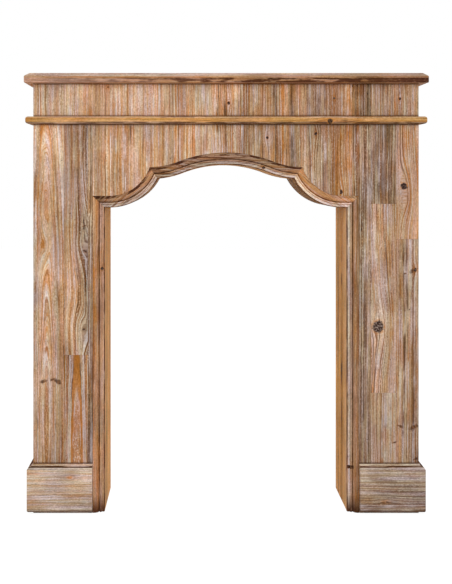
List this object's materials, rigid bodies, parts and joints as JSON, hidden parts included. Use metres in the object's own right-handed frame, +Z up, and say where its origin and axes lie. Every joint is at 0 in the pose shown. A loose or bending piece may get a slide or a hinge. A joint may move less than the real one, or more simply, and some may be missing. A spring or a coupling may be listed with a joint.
{
  "type": "fireplace surround",
  "caption": "Free-standing fireplace surround of lime-washed reclaimed fir: shelf, beaded frieze, plinths and a scalloped ogee-arched opening with a mitred moulding.",
  "frame": {"origin": "on the floor, at the middle of the overall box", "axes": "+Z up, +X to the right when facing the surround, -Y towards the room, +Y towards the wall"},
  "size_m": [1, 0.2, 1.095],
  "materials": {
    "fir_face": "lime-washed, matt",
    "fir_trim": "brushed, matt",
    "fir_frame": "sawn, unfinished",
    "zinc_steel": "zinc plated"
  },
  "bodies": {
    "root": {"mantel_shelf": "fir_face", "header_panel": "fir_face", "bead_front": "fir_face", "left_leg_front": "fir_face", "right_leg_front": "fir_face", "left_plinth_front": "fir_face", "right_plinth_front": "fir_face", "left_plinth_side": "fir_face", "right_plinth_side": "fir_face", "left_outer_side": "fir_face", "right_outer_side": "fir_face", "left_bead_return": "fir_face", "right_bead_return": "fir_face", "crown_moulding": "fir_trim", "crown_soffit": "fir_trim", "left_jamb_moulding": "fir_trim", "right_jamb_moulding": "fir_trim", "left_scallop_moulding": "fir_trim", "right_scallop_moulding": "fir_trim", "left_scallop_soffit": "fir_trim", "right_scallop_soffit": "fir_trim", "left_jamb": "fir_trim", "right_jamb": "fir_trim", "front_cleat": "fir_frame", "left_cleat": "fir_frame", "right_cleat": "fir_frame", "back_rail": "fir_frame", "tie_batten": "fir_frame", "rear_arch_panel": "fir_frame", "left_foot_spacer": "fir_frame", "right_foot_spacer": "fir_frame", "left_middle_spacer": "fir_frame", "right_middle_spacer": "fir_frame", "left_top_spacer": "fir_frame", "right_top_spacer": "fir_frame", "shelf_screws": "zinc_steel"}
  },
  "joints": []
}
